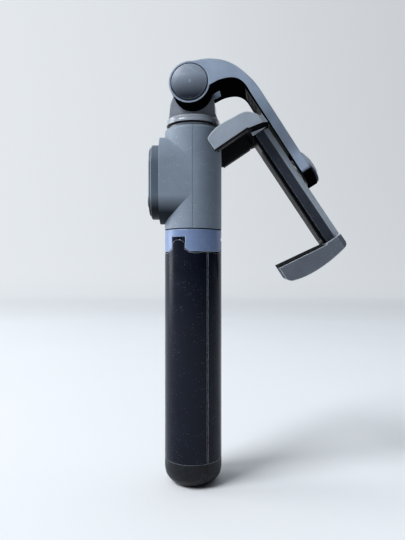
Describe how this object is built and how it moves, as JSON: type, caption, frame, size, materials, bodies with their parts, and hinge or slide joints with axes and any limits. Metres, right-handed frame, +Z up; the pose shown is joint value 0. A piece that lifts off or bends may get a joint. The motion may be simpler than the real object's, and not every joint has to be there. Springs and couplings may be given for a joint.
{
  "type": "phone gimbal stabilizer",
  "caption": "Pocket phone gimbal with a telescopic pole, a handle that splits into tripod legs, a folding arm and a spring clamp.",
  "frame": {"origin": "centre of the closed feet, on the handle axis, in the plane of the feet", "axes": "+Z up the handle axis, -X towards the control panel, +X towards the folded arm, -Y towards the arm's hinge cap"},
  "size_m": [0.0952, 0.0477, 0.2031],
  "materials": {
    "collar_plastic": "satin dark blue-grey moulded plastic",
    "leg_plastic": "satin black moulded plastic",
    "foot_rubber": "dark grey rubber",
    "housing_plastic": "fine matte slate grey",
    "panel_plastic": "matte slate grey",
    "button_plastic": "satin dark grey",
    "neck_plastic": "glossy black",
    "arm_plastic": "satin slate grey",
    "inner_plastic": "black moulded plastic",
    "jaw_plastic": "matte grey",
    "rail_plastic": "satin slate",
    "jaw_dark_plastic": "dark satin",
    "pad_rubber": "black ribbed rubber",
    "steel": "bright steel",
    "rod_metal": "dark anodised tube",
    "bush_nylon": "natural nylon",
    "motor_metal": "turned aluminium",
    "battery_wrap": "shrink wrap",
    "board_green": "circuit board",
    "lens_clear": "frosted light pipe"
  },
  "bodies": {
    "hub": {"tripod_collar": "collar_plastic", "outer_tube": "rod_metal", "guide_bush": "bush_nylon", "tube_end_plug": "inner_plastic", "leg_hinge_pins": "steel"},
    "leg_a": {"leg_shell_a": "leg_plastic", "leg_foot_a": "foot_rubber"},
    "leg_b": {"leg_shell_b": "leg_plastic", "leg_foot_b": "foot_rubber"},
    "leg_c": {"leg_shell_c": "leg_plastic", "leg_foot_c": "foot_rubber"},
    "pole_1": {"rod_1": "rod_metal"},
    "pole_2": {"rod_2": "rod_metal"},
    "pole_3": {"rod_3": "rod_metal"},
    "pole_4": {"rod_4": "rod_metal"},
    "housing": {"rod_5": "rod_metal", "housing_front_shell": "housing_plastic", "housing_rear_shell": "housing_plastic", "rod_socket": "inner_plastic", "battery_cell": "battery_wrap", "control_board": "board_green", "dome_switches": "inner_plastic", "usb_port": "steel", "panel_bezel": "panel_plastic", "panel_plate": "panel_plastic", "status_led_lens": "lens_clear", "housing_screws": "steel", "pan_bearing": "bush_nylon"},
    "shutter": {"shutter_button": "button_plastic"},
    "power": {"power_button": "button_plastic"},
    "neck": {"neck_yoke": "neck_plastic", "pan_shaft": "steel", "pan_retaining_nut": "steel"},
    "arm": {"arm_frame": "arm_plastic", "arm_inner_cover": "inner_plastic", "arm_cover_screws": "steel", "hinge_cap_front": "arm_plastic", "hinge_cap_rear": "arm_plastic", "hinge_pin": "steel", "friction_washers": "bush_nylon", "motor_stator": "motor_metal", "motor_cap": "arm_plastic"},
    "clamp": {"motor_rotor": "motor_metal", "clamp_rail": "rail_plastic", "rail_pad": "pad_rubber", "rail_screws": "steel", "upper_jaw": "jaw_plastic", "upper_jaw_pad": "pad_rubber", "jaw_springs": "steel"},
    "jaw": {"lower_jaw": "jaw_dark_plastic", "lower_jaw_pad": "pad_rubber", "jaw_slider": "inner_plastic"}
  },
  "joints": [
    {"name": "leg_a_swing", "type": "hinge", "parent": "hub", "child": "leg_a", "pos_m": [0.011, 0, 0.116], "axis": [0, -1, 0], "range_deg": [0, 52]},
    {"name": "leg_b_swing", "type": "hinge", "parent": "hub", "child": "leg_b", "pos_m": [-0.0055, 0.00953, 0.116], "axis": [0.866, 0.5, 0], "range_deg": [0, 52]},
    {"name": "leg_c_swing", "type": "hinge", "parent": "hub", "child": "leg_c", "pos_m": [-0.0055, -0.00953, 0.116], "axis": [-0.866, 0.5, 0], "range_deg": [0, 52]},
    {"name": "rod_1_slide", "type": "slide", "parent": "hub", "child": "pole_1", "axis": [0, 0, 1], "range_m": [0, 0.062]},
    {"name": "rod_2_slide", "type": "slide", "parent": "pole_1", "child": "pole_2", "axis": [0, 0, 1], "range_m": [0, 0.062]},
    {"name": "rod_3_slide", "type": "slide", "parent": "pole_2", "child": "pole_3", "axis": [0, 0, 1], "range_m": [0, 0.062]},
    {"name": "rod_4_slide", "type": "slide", "parent": "pole_3", "child": "pole_4", "axis": [0, 0, 1], "range_m": [0, 0.062]},
    {"name": "rod_5_slide", "type": "slide", "parent": "pole_4", "child": "housing", "axis": [0, 0, 1], "range_m": [0, 0.062]},
    {"name": "shutter_press", "type": "slide", "parent": "housing", "child": "shutter", "axis": [1, 0, 0], "range_m": [0, 0.0006], "stiffness_N_per_m": 400, "springref_m": -0.0004},
    {"name": "power_press", "type": "slide", "parent": "housing", "child": "power", "axis": [1, 0, 0], "range_m": [0, 0.0006], "stiffness_N_per_m": 400, "springref_m": -0.0004},
    {"name": "head_pan", "type": "hinge", "parent": "housing", "child": "neck", "pos_m": [0, 0, 0.174], "axis": [0, 0, -1], "range_deg": [-7, 50]},
    {"name": "arm_fold", "type": "hinge", "parent": "neck", "child": "arm", "pos_m": [0, 0, 0.1926], "axis": [-0.1219, -0.9925, 0], "range_deg": [0, 150]},
    {"name": "clamp_roll", "type": "hinge", "parent": "arm", "child": "clamp", "pos_m": [0.03417, -0.00419, 0.1396], "axis": [-0.8324, 0.1022, -0.5446], "range_deg": [-8, 8]},
    {"name": "jaw_slide", "type": "slide", "parent": "clamp", "child": "jaw", "axis": [0.5406, -0.0664, -0.8387], "range_m": [0, 0.028], "stiffness_N_per_m": 120, "springref_m": -0.015, "deforming": ["jaw_springs"]}
  ]
}
